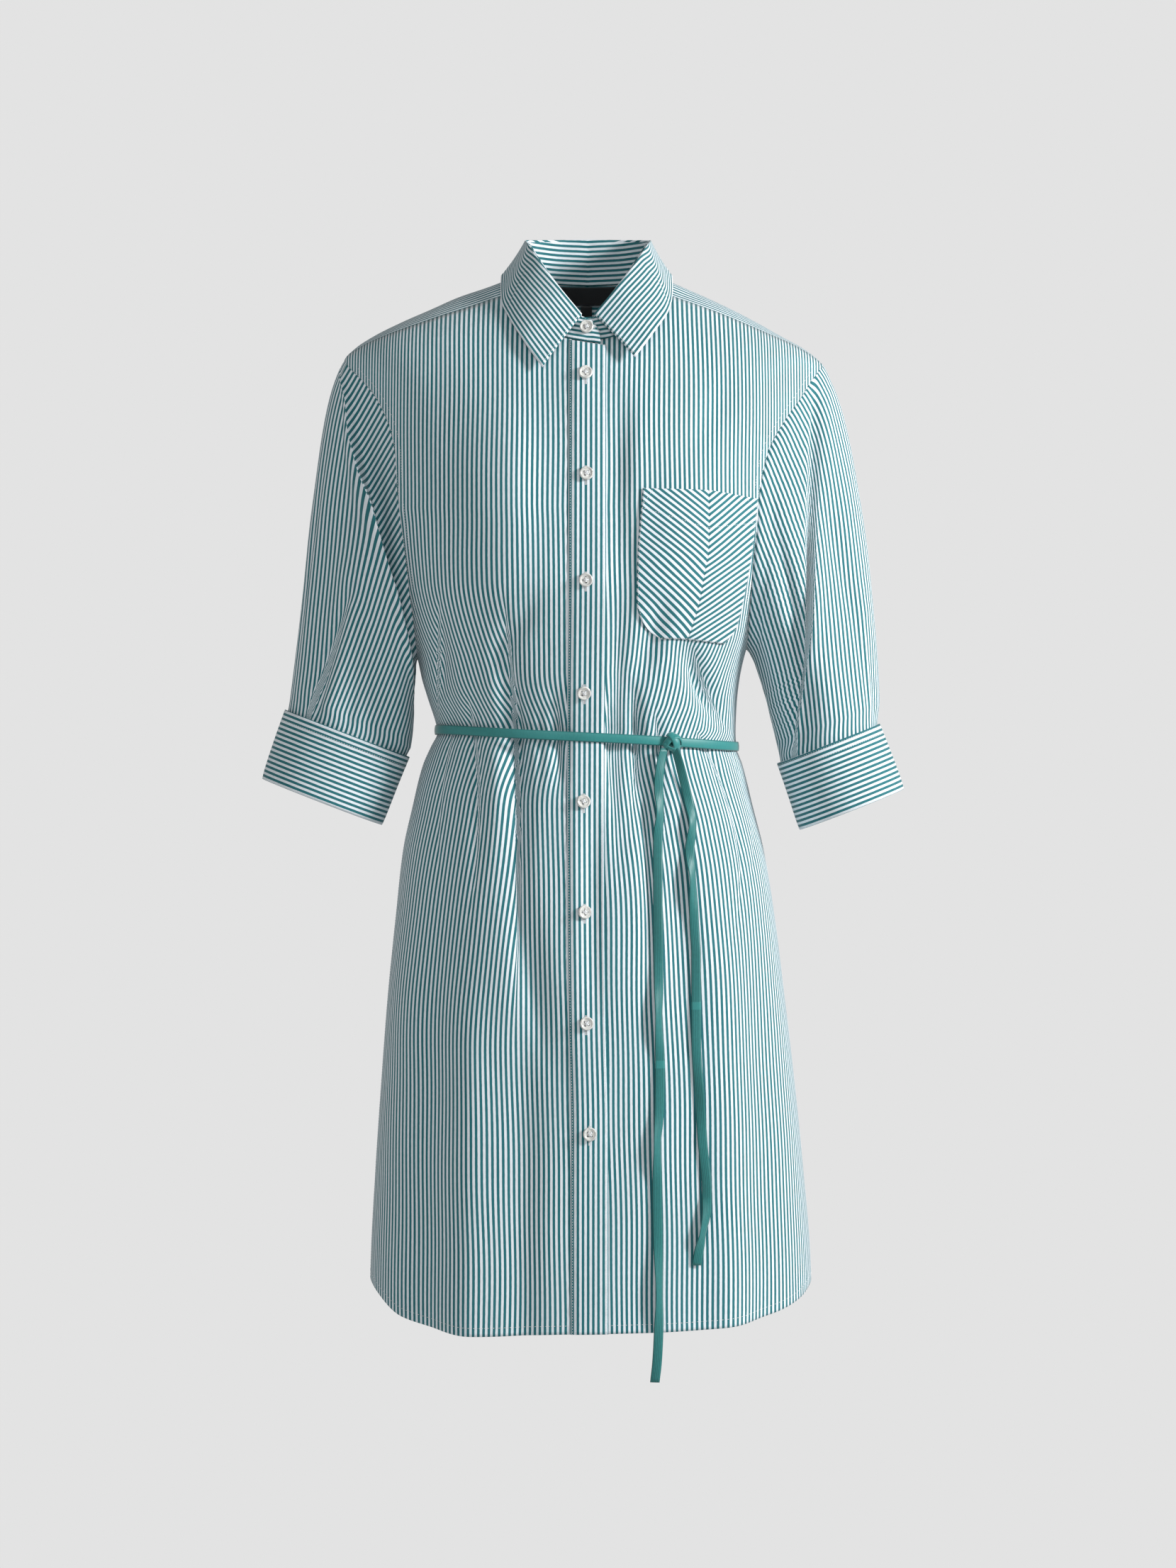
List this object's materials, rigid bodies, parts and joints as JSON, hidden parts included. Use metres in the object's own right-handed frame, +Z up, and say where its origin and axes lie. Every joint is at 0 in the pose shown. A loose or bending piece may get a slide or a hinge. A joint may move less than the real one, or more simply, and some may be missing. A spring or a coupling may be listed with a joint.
{
  "type": "shirt dress",
  "caption": "Short striped cotton shirt dress with a turned-down collar, elbow sleeves with turned cuffs, a chevron chest pocket, a curved hem and a narrow ribbon tie.",
  "frame": {"origin": "middle of the shoulder width, level with the side of the neck seam, where the wearer's neck and shoulders carry the dress", "axes": "+Z up, -Y towards the front, +X towards the side that carries the pocket"},
  "size_m": [0.5444, 0.2331, 0.9578],
  "materials": {
    "striped_cloth": "matte",
    "tie_ribbon": "satin",
    "buttons": "gloss",
    "label": "matte"
  },
  "bodies": {
    "root": {"front_left": "striped_cloth", "front_right": "striped_cloth", "back": "striped_cloth", "yoke": "striped_cloth", "button_band": "striped_cloth", "neck_band": "striped_cloth", "collar": "striped_cloth", "sleeve_left": "striped_cloth", "cuff_left": "striped_cloth", "sleeve_right": "striped_cloth", "cuff_right": "striped_cloth", "pocket_left": "striped_cloth", "pocket_right": "striped_cloth", "tie": "tie_ribbon", "knot": "tie_ribbon", "tail_left": "tie_ribbon", "tail_right": "tie_ribbon", "button_neck": "buttons", "button_1": "buttons", "button_2": "buttons", "button_3": "buttons", "button_4": "buttons", "button_5": "buttons", "button_6": "buttons", "button_7": "buttons", "button_8": "buttons", "neck_label": "label", "size_tab": "label"}
  },
  "joints": []
}
